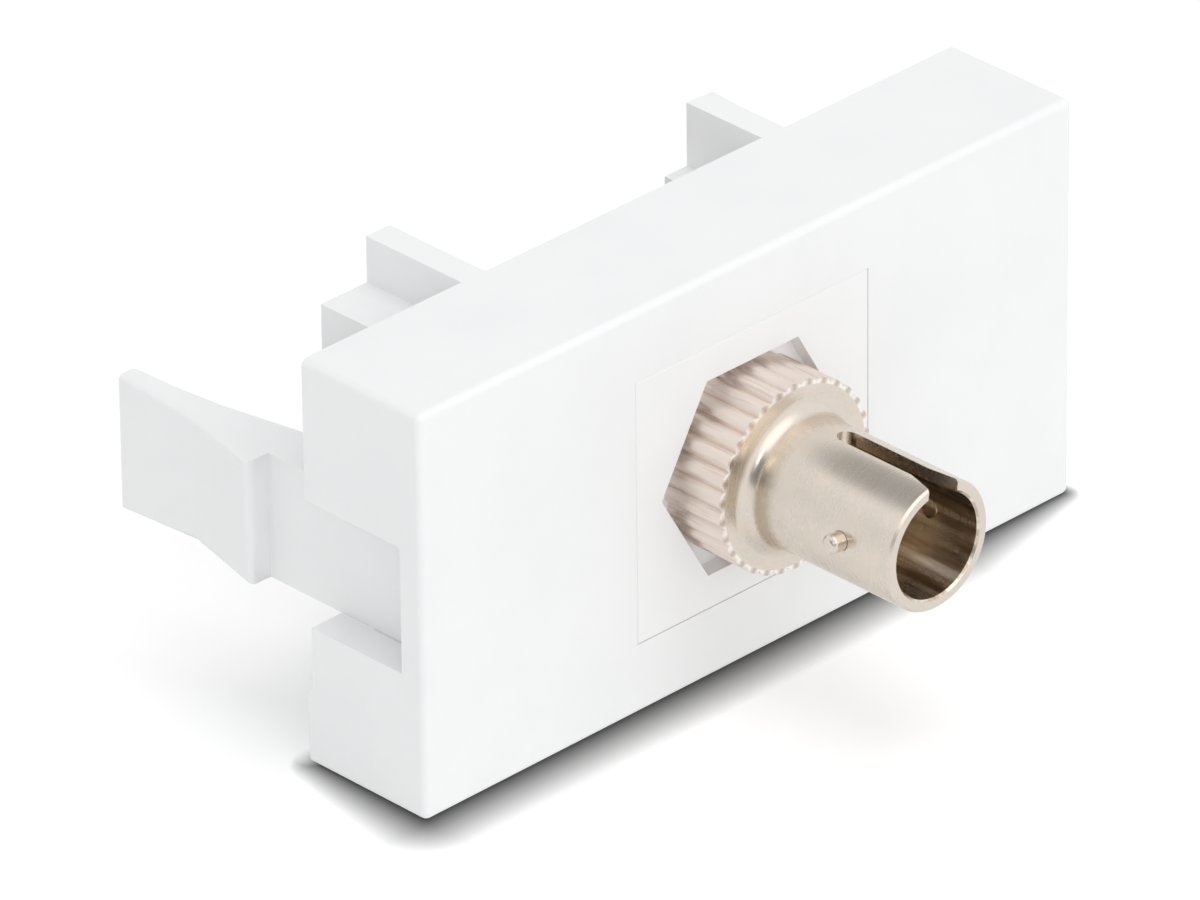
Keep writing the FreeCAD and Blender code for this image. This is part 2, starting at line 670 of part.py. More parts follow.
def sleeve_holder(name, side):
    """Tube round half of the alignment sleeve, with a lip at its outer end."""
    body = new_body(name)
    outer_r = S.holder_diameter / 2 - S.press_gap
    inner_r = S.sleeve_diameter / 2 + S.sleeve_play
    lip_start = side * (holder_half - S.holder_lip)
    end = side * holder_half
    joint = side * (S.press_gap / 2)
    profile = new_sketch(body, "XY_Plane", "profile")
    outline(profile, [(inner_r, joint), (outer_r, joint), (outer_r, end), (S.holder_mouth / 2, end),
                      (S.holder_mouth / 2, lip_start), (inner_r, lip_start)])
    turned(body, "Revolution", profile, "tube")
    return placed_along(body, middle)


def alignment_sleeve():
    """Split sleeve, slit along its whole length."""
    body = new_body("alignment_sleeve")
    section = new_sketch(body, "XZ_Plane", "section")
    ring(section, S.sleeve_diameter)
    ring(section, S.sleeve_bore)
    solid(body, "Pad", section, "tube", S.sleeve_length, both=True)
    slit = new_sketch(body, "XZ_Plane", "slit")
    block(slit, -S.sleeve_slit / 2, 0, S.sleeve_slit / 2, S.sleeve_diameter)
    solid(body, "Pocket", slit, "slit_cut", S.sleeve_length * 2, both=True)
    return placed_along(body, middle)


def lock_washer():
    """Flat ring with gaps cut between its inner teeth."""
    body = new_body("lock_washer")
    hole_r = shank_diameter / 2 + S.thread_gap
    section = new_sketch(body, "XZ_Plane", "section")
    ring(section, washer_diameter)
    ring(section, hole_r * 2)
    solid(body, "Pad", section, "ring", S.washer_thick, reverse=True)
    gap = new_sketch(body, "XZ_Plane", "gap")
    block(gap, -S.washer_gap_width / 2, hole_r - S.washer_gap_depth, S.washer_gap_width / 2,
          hole_r + S.washer_gap_depth)
    cut = solid(body, "Pocket", gap, "gap_cut", S.washer_thick)
    repeated(body, cut, "gaps", S.washer_teeth)
    return placed_along(body, flange_back + S.panel_thick)


def panel_nut():
    """Hexagonal nut, chamfered at the back, with a plain bore at the thread's size."""
    body = new_body("panel_nut")
    nut_flats = flange_diameter + S.nut_spread
    section = new_sketch(body, "XZ_Plane", "section")
    hexagon(section, nut_flats)
    solid(body, "Pad", section, "hexagon", S.nut_thick, reverse=True)
    bore = new_sketch(body, "XZ_Plane", "bore")
    ring(bore, shank_diameter + S.thread_gap * 2)
    solid(body, "Pocket", bore, "bore_cut", S.nut_thick)
    corner_reach = nut_flats / math.sqrt(3) - nut_flats / 2
    outer = nut_flats / 2 + corner_reach * 2
    waste = new_sketch(body, "XY_Plane", "corner_waste")
    outline(waste, [(nut_flats / 2, S.nut_thick), (outer, S.nut_thick),
                    (outer, S.nut_thick - S.nut_chamfer * 2)])
    turned(body, "Groove", waste, "corner_chamfer")
    return placed_along(body, flange_back + S.panel_thick + S.washer_thick)


def all_pieces():
    """Build every piece of the module in turn."""
    pieces = [cover_plate(), keystone_insert(), front_body(), rear_body()]
    front_pins = flange_front - S.barrel_length + S.pin_from_mouth
    rear_pins = shank_end + S.barrel_length - S.pin_from_mouth
    for end, along in (("front", front_pins), ("rear", rear_pins)):
        for word, side in (("left", -1), ("right", 1)):
            pieces.append(bayonet_pin(f"bayonet_pin_{end}_{word}", side, along))
    pieces += [sleeve_holder("sleeve_holder_front", -1), sleeve_holder("sleeve_holder_rear", 1)]
    pieces += [alignment_sleeve(), lock_washer(), panel_nut()]
    return pieces


def check(pieces):
    """Stop if any feature failed or any piece is not one sound solid."""
    doc.recompute()
    for feature in doc.Objects:
        if "Invalid" in feature.State or "Error" in feature.State:
            raise RuntimeError(f"{feature.Label}: {feature.State}")
    for piece in pieces:
        shape = piece.Shape
        if shape.isNull() or not shape.isValid() or len(shape.Solids) != 1:
            raise RuntimeError(f"{piece.Label}: {len(shape.Solids)} solids")


pieces = all_pieces()
check(pieces)
os.makedirs("parts", exist_ok=True)
for piece in pieces:
    piece.Shape.exportStep(f"parts/{piece.Label}.step")
    box = piece.Shape.BoundBox
    print(f"{piece.Label:26s} {piece.Shape.Volume:9.2f} mm3  x {box.XMin:7.2f} {box.XMax:7.2f}"
          f"  y {box.YMin:7.2f} {box.YMax:7.2f}  z {box.ZMin:7.2f} {box.ZMax:7.2f}")
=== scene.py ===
# %% [markdown]
# # A snap-in half module with a bayonet fibre adapter
#
# This lesson dresses a finished model of a small wall module. A white moulded plate carries a
# flush white insert, and a nickel-plated adapter with a knurled flange stands out of it. The solid
# shapes come from the part's own construction, so here we keep every size and add what a camera
# sees: soft edges, plastic that looks moulded, metal that looks turned, and studio light.
#
# Blender counts in metres and the part is small, so lengths are written in millimetres times `MM`.
# The adapter's axis is the Y axis: its front barrel points to -Y, and the wall is at +Y.

# %% Load the frame
import bpy
import bmesh
import math
import numpy as np
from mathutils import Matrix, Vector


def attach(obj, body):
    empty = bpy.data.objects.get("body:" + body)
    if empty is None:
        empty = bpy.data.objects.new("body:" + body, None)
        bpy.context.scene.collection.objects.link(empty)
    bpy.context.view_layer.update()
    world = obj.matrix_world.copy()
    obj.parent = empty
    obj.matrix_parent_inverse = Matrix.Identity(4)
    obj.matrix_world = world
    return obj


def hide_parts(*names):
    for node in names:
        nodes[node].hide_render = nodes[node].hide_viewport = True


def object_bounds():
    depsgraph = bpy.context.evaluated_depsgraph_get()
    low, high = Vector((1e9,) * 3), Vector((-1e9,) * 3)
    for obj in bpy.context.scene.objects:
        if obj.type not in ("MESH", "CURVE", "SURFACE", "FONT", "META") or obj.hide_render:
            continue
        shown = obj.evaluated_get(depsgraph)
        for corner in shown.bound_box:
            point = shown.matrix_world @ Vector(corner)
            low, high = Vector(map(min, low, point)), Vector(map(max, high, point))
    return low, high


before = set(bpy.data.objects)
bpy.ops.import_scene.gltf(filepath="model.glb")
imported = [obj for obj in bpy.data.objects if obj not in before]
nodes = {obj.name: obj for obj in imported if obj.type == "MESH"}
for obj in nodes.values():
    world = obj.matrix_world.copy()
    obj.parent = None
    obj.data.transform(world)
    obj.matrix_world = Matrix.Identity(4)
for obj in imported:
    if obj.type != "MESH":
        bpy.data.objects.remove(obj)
cad_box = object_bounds()
MM = 0.001
print("solid pieces:", sorted(nodes))

# %% [markdown]
# ## The camera
#
# The photograph was taken with a long lens from above and to the left. Its place was worked out
# once from the plate's eight corners, whose real distances are known: the azimuth, elevation and
# roll below are angles in degrees, and the other three numbers shift and pull back the camera. A
# camera looks along its own -Z axis, so its turn is built from three unit vectors: right, up, back.

# %% Set up the camera
AZIMUTH, ELEVATION, ROLL = (math.radians(angle) for angle in (-44.36, 29.60, -0.61))
SHIFT_RIGHT, SHIFT_UP, DISTANCE = 7.49 * MM, -0.31 * MM, 684.5 * MM
LENS_IN_MM, SENSOR_IN_MM = 420, 36
NEAREST, FARTHEST = 0.01, 20

back = np.array([math.sin(AZIMUTH) * math.cos(ELEVATION),
                 -math.cos(AZIMUTH) * math.cos(ELEVATION), math.sin(ELEVATION)])
level_right = np.cross([0.0, 0.0, 1.0], back)
level_right /= np.linalg.norm(level_right)
level_up = np.cross(back, level_right)
right = level_right * math.cos(ROLL) + level_up * math.sin(ROLL)
up = -level_right * math.sin(ROLL) + level_up * math.cos(ROLL)

turn = np.eye(4)
turn[:3, 0], turn[:3, 1], turn[:3, 2] = right, up, back
turn[:3, 3] = -right * SHIFT_RIGHT - up * SHIFT_UP + back * DISTANCE

camera_data = bpy.data.cameras.new("camera")
camera_data.lens = LENS_IN_MM
camera_data.sensor_width = SENSOR_IN_MM
camera_data.clip_start = NEAREST
camera_data.clip_end = FARTHEST
camera = bpy.data.objects.new("camera", camera_data)
bpy.context.scene.collection.objects.link(camera)
camera.matrix_world = turn.T.tolist()
bpy.context.scene.camera = camera
bpy.context.scene.view_settings.view_transform = "Standard"
print("camera at", np.round(turn[:3, 3], 4))

# %% [markdown]
# ## Writing materials as arithmetic
#
# A Blender material is a graph of nodes. Drawing it by hand is slow to read, so we wrap one output
# of a node in a small class that knows how to add, subtract, multiply and divide. `1 - mask` then
# simply makes a Math node. Two more methods make masks: `between` climbs softly from 0 to 1, and
# `band` climbs and falls again, so it marks a stretch along an axis.

# %% A value that arithmetic works on
class Value:
    """One output of a node. Python's operators add Math nodes to its material."""

    def __init__(self, finish, socket):
        self.finish = finish
        self.socket = socket

    def math(self, operation, *others, first=None):
        """Add a Math node. Its first input is this value, unless another one is given."""
        inputs = dict(enumerate((self if first is None else first,) + others))
        return self.finish.node("ShaderNodeMath", {"operation": operation}, inputs)

    def __add__(self, other):
        return self.math("ADD", other)

    def __sub__(self, other):
        return self.math("SUBTRACT", other)

    def __mul__(self, other):
        return self.math("MULTIPLY", other)

    def __truediv__(self, other):
        return self.math("DIVIDE", other)

    def __rsub__(self, other):
        return self.math("SUBTRACT", self, first=other)

    __radd__ = __add__

    def clamp(self):
        """Hold the value between 0 and 1."""
        return self.finish.node("ShaderNodeClamp", {}, {"Value": self})

    def between(self, low, high):
        """Climb from 0 at low to 1 at high, with soft ends."""
        inputs = {"Value": self, "From Min": low, "From Max": high}
        return self.finish.node("ShaderNodeMapRange", {"interpolation_type": "SMOOTHSTEP"}, inputs)

    def band(self, start, full, fade, end):
        """Climb from 0 at start to 1 at full, stay there, and fall from fade to 0 at end."""
        return self.between(start, full) * (1 - self.between(fade, end))


print("values ready")

# %% [markdown]
# ## One method for every node
#
# Every other kind of node comes from a single method, which takes the node's type, its settings,
# and the numbers or links of its sockets. The rest are short names for the nodes used most. The
# point on the surface is read in millimetres, so that the sizes in a finish are plain numbers: a
# noise of size 6 has lumps about 6 mm across, and `y.between(1, 2)` is a mask between 1 and 2 mm.

# %% A material that grows node by node
class Finish:
    """A material that starts with one Principled shader."""

    def __init__(self, name, constants):
        self.material = bpy.data.materials.new(name)
        self.material.use_nodes = True
        self.tree = self.material.node_tree
        self.shader = next(n for n in self.tree.nodes if n.type == "BSDF_PRINCIPLED")
        for socket, value in constants.items():
            self.shader.inputs[socket].default_value = value

    def node(self, kind, settings, inputs, output=0):
        """Add a node: its settings first, then the values or links of its sockets."""
        node = self.tree.nodes.new(kind)
        for key, value in settings.items():
            setattr(node, key, value)
        for key, value in inputs.items():
            if isinstance(value, Value):
                self.tree.links.new(value.socket, node.inputs[key])
            else:
                node.inputs[key].default_value = value
        return Value(self, node.outputs[output])

    def feed(self, socket, value):
        """Link a value that changes over the surface to the shader."""
        self.tree.links.new(value.socket, self.shader.inputs[socket])

    def place(self):
        """The point on the surface, in millimetres along the object's own axes."""
        metres = self.node("ShaderNodeTexCoord", {}, {}, "Object")
        return self.node("ShaderNodeVectorMath", {"operation": "SCALE"},
                         {0: metres, "Scale": 1 / MM})

    def split(self, vector):
        """The x, y and z of a vector."""
        parts = self.node("ShaderNodeSeparateXYZ", {}, {0: vector})
        outputs = parts.socket.node.outputs
        return [Value(self, outputs[i]) for i in range(3)]

    def join(self, x, y, z):
        """A vector from three values."""
        return self.node("ShaderNodeCombineXYZ", {}, {0: x, 1: y, 2: z})

    def noise(self, vector, size, detail=2.0, roughness=0.5):
        """Soft random values from 0 to 1, whose lumps are about `size` millimetres across."""
        inputs = {"Vector": vector, "Scale": 1 / size, "Detail": detail, "Roughness": roughness}
        return self.node("ShaderNodeTexNoise", {}, inputs)

    def blend(self, factor, first, second):
        """Mix two colours."""
        inputs = {0: factor, 6: first, 7: second}
        return self.node("ShaderNodeMix", {"data_type": "RGBA"}, inputs, 2)

    def bump(self, height, distance):
        """Tilt the surface by a height map, whose full range is `distance` millimetres."""
        inputs = {"Height": height, "Distance": distance * MM}
        self.feed("Normal", self.node("ShaderNodeBump", {}, inputs))


print("materials ready")

# %% [markdown]
# ## White moulded plastic
#
# The plate and its insert are injection moulded in a white plastic with a fine satin surface. Real
# white plastic is not one flat white: the mould's fine spark texture breaks up the gloss, flow
# during filling leaves very faint cloudy shades, and the two mouldings differ a little in tint. We
# make layers of noise: clouds of several millimetres in the colour, patches in the roughness, and
# a fine grain on a slow ripple in the bump, so that highlights are alive but quiet.
#
# The insert's hexagonal recess, 1 mm deep, gets painted light: a whiter and slightly bluer colour
# that stands in for light travelling inside the plastic and brightening the shade of the hollow.
# Its stretch along the axis is written as the four numbers of `band`: start, full, fade, end.

# %% Make the two white plastics
RECESS_STRETCH = (0.02, 0.2, 1.05, 1.2)


def moulded_plastic(name, pale, shade, recess_painted_light=None):
    """White plastic: a slow cloud of two close whites, with a fine grain."""
    finish = Finish(name, {"IOR": 1.46})
    place = finish.place()
    clouds = finish.noise(place, 6, 3.0, 0.55)
    colour = finish.blend(clouds.between(0.3, 0.7), pale, shade)
    # painted light: the recess is whitened where its own shade would fall
    if recess_painted_light:
        along_axis = finish.split(place)[1]
        colour = finish.blend(along_axis.band(*RECESS_STRETCH), colour, recess_painted_light)
    finish.feed("Base Color", colour)
    patches = finish.noise(place, 2.5)
    grain = finish.noise(place, 0.09, 2.0, 0.6)
    finish.feed("Roughness", 0.36 + patches * 0.1 + grain * 0.06)
    ripple = finish.noise(place, 1.4, 1.0)
    finish.bump(grain * 0.35 + ripple * 0.65, 0.0035)
    return finish.material


plate_white = moulded_plastic("plate_white", pale=(0.875, 0.882, 0.885, 1),
                              shade=(0.855, 0.863, 0.867, 1))
insert_white = moulded_plastic("insert_white", pale=(0.888, 0.893, 0.895, 1),
                               shade=(0.868, 0.874, 0.876, 1),
                               recess_painted_light=(0.94, 0.965, 0.985, 1))
print("plastics:", plate_white.name, insert_white.name)

# %% [markdown]
# ## Nickel-plated turned metal
#
# The adapter is turned brass with a warm nickel plating. A lathe leaves very fine rings that run
# round the part: on the barrel they lie side by side along the axis, and on the flange's face they
# are circles. Both follow from one trick. We read the noise at a point made of the distance from
# the axis and the place along it, so it never changes on the way round.
#
# Wear, dirt and painted light then lie in layers over the plating, each in a function of its own
# with a mask that says where it is. The knurl is paler and pinker, with dark blotches that grow
# stronger towards the wall, and a painted shade in its grooves. The front corner of each tooth
# gets a painted highlight, and the notch beside it a painted shade. A painted olive dark reflection
# sits in the corner at the barrel's foot, most of it on the left. The bore is thinly plated, so
# brass shows where connectors wiped it lengthwise.

# %% The layers of the knurled flange
TURN_IN_DEGREES = 6.5
TEETH = 30
KNURL_STRETCH, RIM_STRETCH = (-2.95, -2.8, 0.95, 1.0), (-2.99, -2.95, -2.82, -2.74)
KNURL_RADII, GROOVE_RADII, RIM_RADII = (4.7, 4.75), (4.9, 5.12), (4.84, 4.9)
TOWARDS_WALL = (-1.6, 0.6)
PINK, PAINTED_GLINT = (0.90, 0.80, 0.73, 1), (1.0, 0.98, 0.94, 1)
TARNISH_AND_SHADE = (0.50, 0.37, 0.31, 1)


def knurl_layer(finish, colour, place, radius):
    """Colour the knurl, its blotches and a painted shade in its grooves. Return the new colour and
    the knurl's mask.
    """
    x, y, z = place
    knurled = y.band(*KNURL_STRETCH) * radius.between(*KNURL_RADII)
    colour = finish.blend(knurled, colour, PINK)
    # painted shade in the bottoms of the grooves
    groove_shade = 1 - radius.between(*GROOVE_RADII)
    blotches = finish.noise(finish.join(x, y * 0.25, z), 0.5, 3.0, 0.6).between(0.45, 0.75)
    scratches = finish.noise(finish.join(x, y * 0.05, z), 0.16).between(0.55, 0.72)
    blotches = blotches * (0.12 + y.between(*TOWARDS_WALL) * 0.75)
    wear_and_groove_shade = groove_shade * 0.08 + scratches * 0.3 + blotches
    return finish.blend((knurled * wear_and_groove_shade).clamp(), colour, TARNISH_AND_SHADE), knurled


def rim_glint_layer(finish, colour, place, radius):
    """Paint a highlight on the front corner of each tooth and a painted shade in the notch beside
    it.
    """
    x, y, z = place
    teeth_passed = z.math("ARCTAN2", x) / (2 * math.pi) * TEETH - TURN_IN_DEGREES * TEETH / 360
    tooth = teeth_passed.math("PINGPONG", 0.5) * 2
    rim = y.band(*RIM_STRETCH) * radius.between(*RIM_RADII)
    # painted highlight on the side of each tooth's front corner that faces the light
    colour = finish.blend(rim * tooth.between(0.35, 0.6) * 0.9, colour, PAINTED_GLINT)
    # painted shade in the notch beside each painted highlight
    return finish.blend(rim * (1 - tooth.between(0.12, 0.3)) * 0.5, colour, TARNISH_AND_SHADE)


print("knurl:", TEETH, "teeth, turned by", TURN_IN_DEGREES, "degrees")

# %% [markdown]
# ## The barrel's layers and the whole nickel
#
# The foot and the bore have a layer each, and the thread is the only layer with a visible height:
# a helix is a height that climbs once per pitch along the axis and once per turn round it. The
# nickel itself then puts everything together. It is rougher on the knurl and smoother in the bore.

# %% Make the nickel
FOOT_STRETCH, SHANK_STRETCH = (-4.9, -4.1, -3.6, -3.3), (1.02, 1.06, 5.65, 5.72)
SHANK_RADII, BORE_RADII, WALL_RADII = (4.3, 4.4, 4.55, 4.6), (2.85, 2.95), (2.66, 2.74)
BORE_FROM_MIDDLE = (3.6, 3.8)
THREAD_PITCH = 0.5
OLIVE_REFLECTION, BRASS, WIPED = (0.40, 0.33, 0.22, 1), (0.53, 0.43, 0.33, 1), (0.86, 0.78, 0.67, 1)


def foot_reflection_layer(finish, colour, place, radius, clouds):
    """Paint an olive dark reflection round the barrel's foot, most of it on the left."""
    x, y, _ = place
    on_the_left = 1 - (x / radius).between(-0.95, -0.1)
    # painted dark reflection in the concave corner at the foot
    return finish.blend(y.band(*FOOT_STRETCH) * on_the_left * (0.2 + clouds * 0.4), colour, OLIVE_REFLECTION)


def bore_layer(finish, colour, place, radius, rings):
    """Show brass in both bores, wiped lengthwise on the wall. Return the colour and the gloss."""
    x, y, z = place
    inside = (1 - radius.between(*BORE_RADII)) * y.math("ABSOLUTE").between(*BORE_FROM_MIDDLE)
    wiped = finish.noise(finish.join(x, y * 0.06, z), 0.5, 3.0, 0.55).between(0.38, 0.62)
    on_the_wall = radius.between(*WALL_RADII)
    wiped = wiped * on_the_wall + rings * (1 - on_the_wall)
    colour = finish.blend(inside, colour, finish.blend(wiped, BRASS, WIPED))
    return colour, inside * (wiped * 0.08 - 0.07)


def thread_height(place, radius):
    """The height of the thread on the shank behind the flange, from 0 to 1."""
    x, y, z = place
    turns = z.math("ARCTAN2", x) / (2 * math.pi)
    climb = (y / THREAD_PITCH + turns).math("PINGPONG", 0.5) * 2
    return climb * y.band(*SHANK_STRETCH) * radius.band(*SHANK_RADII)


def turned_nickel(name, warm, cool):
    """Plated metal with rings round the y axis and its layers of wear."""
    finish = Finish(name, {"Metallic": 1.0})
    point = finish.place()
    place = finish.split(point)
    x, y, z = place
    radius = (x * x + z * z).math("SQRT")
    lathe = finish.join(radius, y, 0.0)
    fine_rings = finish.noise(lathe, 0.08, 2.0, 0.6)
    wide_rings = finish.noise(lathe, 0.25)
    clouds = finish.noise(point, 1.3, 4.0, 0.6)
    colour = finish.blend(clouds.between(0.35, 0.68), warm, cool)
    colour, knurled = knurl_layer(finish, colour, place, radius)
    colour = rim_glint_layer(finish, colour, place, radius)
    colour = foot_reflection_layer(finish, colour, place, radius, clouds)
    colour, gloss = bore_layer(finish, colour, place, radius, wide_rings)
    finish.feed("Base Color", colour)
    rough = 0.17 + wide_rings * 0.1 + clouds * 0.1 + knurled * 0.16 + gloss
    finish.feed("Roughness", rough.clamp())
    fine_relief = fine_rings * 0.0006 + wide_rings * 0.002
    finish.bump(fine_relief + thread_height(place, radius), 0.12)
    return finish.material


nickel = turned_nickel("turned_nickel", warm=(0.775, 0.69, 0.60, 1), cool=(0.74, 0.675, 0.605, 1))
print("nickel:", nickel.name)

# %% [markdown]
# ## Steel and ceramic behind the plate
#
# The toothed washer is plain zinc-plated steel, cooler and greyer than the nickel, with a fine
# mottled crystal pattern. The alignment sleeve is white zirconia, ground very smooth lengthwise.

# %% Make the steel and the ceramic
def zinc_steel(name):
    """Cool grey plated steel with small crystals of slightly different tone."""
    finish = Finish(name, {"Metallic": 1.0})
    place = finish.place()
    inputs = {"Vector": place, "Scale": 1 / 0.45}
    crystals = finish.node("ShaderNodeTexVoronoi", {"feature": "F1"}, inputs, "Distance")
    clouds = finish.noise(place, 1.2, 3.0)
    tone = (crystals * 0.6 + clouds * 0.6).between(0.25, 0.9)
    finish.feed("Base Color", finish.blend(tone, (0.66, 0.67, 0.68, 1), (0.52, 0.53, 0.55, 1)))
    finish.feed("Roughness", 0.26 + tone * 0.16)
    finish.bump(crystals, 0.004)
    return finish.material


def zirconia(name):
    """White technical ceramic, ground along its length."""
    finish = Finish(name, {"IOR": 2.1, "Coat Weight": 0.3, "Coat Roughness": 0.08})
    place = finish.place()
    x, y, z = finish.split(place)
    grind = finish.noise(finish.join(x, y * 0.05, z), 0.06)
    clouds = finish.noise(place, 1.0)
    finish.feed("Base Color", finish.blend(clouds, (0.86, 0.85, 0.81, 1), (0.82, 0.81, 0.78, 1)))
    finish.feed("Roughness", 0.14 + grind * 0.12)
    finish.bump(grind, 0.001)
    return finish.material


steel = zinc_steel("zinc_steel")
ceramic = zirconia("zirconia")
print("hidden metal and ceramic:", steel.name, ceramic.name)

# %% [markdown]
# ## Small departures from the solids
#
# The photographed sample differs a little from the drawn part, and two functions move a few points
# of the dressed copies to show it. The low block outside the plate's left rib is drawn symmetric,
# and its lower end is lifted a millimetre. Each snap arm reaches 0.12 mm lower, so that no light
# shows between it and the notch below. And the seam round the insert, 0.05 mm wide as drawn, stays
# clear at the left but becomes a faint line on the other three sides.

# %% Fit the points to the sample
FRONT_WALL_BACK, SIDE_WALLS_BACK = 1.4, 8.2
BLOCK_LEFT, BLOCK_RIGHT, BLOCK_END_LOW, BLOCK_END_HIGH = -14.95, -11.75, -8.75, -8.35
ARM_INNER, ARM_OUTER, ARM_SIDE_LOW, ARM_SIDE_HIGH = 16, 20.47, -4.2, -3.3
BLOCK_LIFT, ARM_DROP = 1.0 * MM, 0.12 * MM
INSERT_HALF_LENGTH, INSERT_HALF_HEIGHT, SAME_PLANE = 8.0 * MM, 7.3 * MM, 0.01 * MM
RIGHT_OUT, UPRIGHT_OUT = 0.035 * MM, 0.03 * MM


def fit_lower_ends(work):
    """Lift the low block's lower end and let the arms' lower sides down a little."""
    for vertex in work.verts:
        x, y, z = vertex.co / MM
        if y <= FRONT_WALL_BACK:
            continue
        if BLOCK_LEFT < x < BLOCK_RIGHT and BLOCK_END_LOW < z < BLOCK_END_HIGH:
            vertex.co.z += BLOCK_LIFT
        clear_of_wall = y > SIDE_WALLS_BACK or abs(x) < ARM_OUTER
        if abs(x) > ARM_INNER and clear_of_wall and ARM_SIDE_LOW < z < ARM_SIDE_HIGH:
            vertex.co.z -= ARM_DROP


def narrow_seam(work):
    """Let the insert's upper, lower and right sides out to narrow the seam there."""
    for vertex in work.verts:
        if abs(vertex.co.x - INSERT_HALF_LENGTH) < SAME_PLANE:
            vertex.co.x += RIGHT_OUT
        if abs(abs(vertex.co.z) - INSERT_HALF_HEIGHT) < SAME_PLANE:
            vertex.co.z += math.copysign(UPRIGHT_OUT, vertex.co.z)


fittings = {"cover_plate": fit_lower_ends, "keystone_insert": narrow_seam}
print("pieces with moved points:", sorted(fittings))

# %% [markdown]
# ## Soft edges on the moulded and turned pieces
#
# A solid from construction arrives as loose triangles with razor edges. No real moulding or
# turning has those: an edge of even a twentieth of a millimetre catches a thin line of light. We
# copy each mesh, merge its points, join flat neighbours into larger faces, and let a Bevel
# modifier round what is still sharp. Two kinds of edge keep a weight of nothing, so the modifier
# leaves them alone: those at the fine seam, where a rounding would widen the gap, and those of the
# arms' heads, whose roundings are in the solid already. A Weighted Normal modifier then lets large
# flat faces shade as flat, although small roundings meet them. The copy stands in for its solid.

# %% Choose the edges that stay as they are
SEAM_X, SEAM_Z = 8.05 * MM, 7.35 * MM
SEAM_REACH, FRONT_REACH = 0.08 * MM, 0.1 * MM
ARM_HEAD_X, ARM_HEAD_Y = 16 * MM, 12 * MM


def on_seam(edge):
    """Tell whether an edge lies on the fine seam between plate and insert, on the front face."""
    def near(point):
        x, z = abs(point.x), abs(point.z)
        upright = abs(x - SEAM_X) < SEAM_REACH and z < SEAM_Z + SEAM_REACH
        level = abs(z - SEAM_Z) < SEAM_REACH and x < SEAM_X + SEAM_REACH
        return abs(point.y) < FRONT_REACH and (upright or level)
    return all(near(vertex.co) for vertex in edge.verts)


def on_arm_head(edge):
    """Tell whether an edge belongs to a snap arm's barb or tab, which are rounded already."""
    return all(abs(vertex.co.x) > ARM_HEAD_X and vertex.co.y > ARM_HEAD_Y for vertex in edge.verts)


print("seam at", SEAM_X / MM, "and", SEAM_Z / MM, "mm")

# %% [markdown]
# ## Copy, merge and soften
#
# The work on one mesh is the same for all eight pieces, so it is two functions: the first cleans
# the copied mesh and weighs its edges, and the second makes the object, adds the modifiers and
# hides the solid that it replaces. Edges that bend by less than 32 degrees are shaded as one
# smooth surface, which keeps the turned pieces round.

# %% Dress the plate, the insert, the bodies and the pins
SAME_POINT, NO_LENGTH = 0.0005 * MM, 0.002 * MM
FLAT, SMOOTH = math.radians(0.6), math.radians(32)


def cleaned(node):
    """Return a merged copy of a node's mesh whose sharp edges have a bevel weight of 1."""
    mesh = nodes[node].data.copy()
    mesh.name = f"{node}_dressed"
    work = bmesh.new()
    work.from_mesh(mesh)
    bmesh.ops.remove_doubles(work, verts=work.verts, dist=SAME_POINT)
    bmesh.ops.dissolve_degenerate(work, edges=work.edges, dist=NO_LENGTH)
    if node in fittings:
        fittings[node](work)
    bmesh.ops.dissolve_limit(work, angle_limit=FLAT, use_dissolve_boundaries=False,
                             verts=work.verts, edges=work.edges)
    for face in work.faces:
        face.smooth = True
    softness = work.edges.layers.float.new("bevel_weight_edge")
    for edge in work.edges:
        edge.smooth = len(edge.link_faces) == 2 and edge.calc_face_angle() < SMOOTH
        edge[softness] = 0.0 if edge.smooth or on_seam(edge) or on_arm_head(edge) else 1.0
    work.to_mesh(mesh)
    work.free()
    return mesh


def softened(node, material, width):
    """Put a smooth-shaded copy of a node in its place, with a small rounding on sharp edges."""
    mesh = cleaned(node)
    mesh.materials.clear()
    mesh.materials.append(material)
    piece = bpy.data.objects.new(mesh.name, mesh)
    bpy.context.scene.collection.objects.link(piece)
    bevel = piece.modifiers.new("soft_edges", "BEVEL")
    bevel.width = width
    bevel.segments = 2
    bevel.limit_method = "WEIGHT"
    bevel.use_clamp_overlap = True
    level = piece.modifiers.new("level_faces", "WEIGHTED_NORMAL")
    level.mode = "FACE_AREA"
    level.weight = 80
    level.keep_sharp = True
    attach(piece, "root")
    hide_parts(node)
    print(f"{mesh.name}: {len(mesh.vertices)} points, {len(mesh.polygons)} faces")


softened("cover_plate", plate_white, 0.05 * MM)
softened("keystone_insert", insert_white, 0.02 * MM)
softened("front_body", nickel, 0.05 * MM)
softened("rear_body", nickel, 0.03 * MM)
for end in ("front", "rear"):
    for side in ("left", "right"):
        softened(f"bayonet_pin_{end}_{side}", nickel, 0.06 * MM)

# %% [markdown]
# ## The pieces behind the insert
#
# Five small pieces are hidden or nearly so. They keep their own meshes, and only their finish
# changes. The nut is nickel-plated like the adapter that it holds.

# %% Dress the pieces that keep their own mesh
OWN_MESH = {"sleeve_holder_front": nickel, "sleeve_holder_rear": nickel, "panel_nut": nickel,
            "lock_washer": steel, "alignment_sleeve": ceramic}
for node, material in OWN_MESH.items():
    nodes[node].data.materials.clear()
    nodes[node].data.materials.append(material)
    print(node, "is", material.name)

# %% [markdown]
# ## The floor
#
# The module stands on a seamless white sheet. Under the photograph's module lies a narrow, very
# dark contact shadow that a large lamp can't give, so it is painted on the sheet: `reach` is the
# distance from the plate's foot, and the paper turns from almost black to white over `width`. The
# width is 3.3 mm at the front and shrinks towards the rear and the right, and behind the plate
# there is no band. Only the camera sees the band. It also sees a little glow on the open paper, so
# that the background is white while the part's own soft shadow stays on it. All other rays meet
# plain white paper, which throws clean light back at the part.

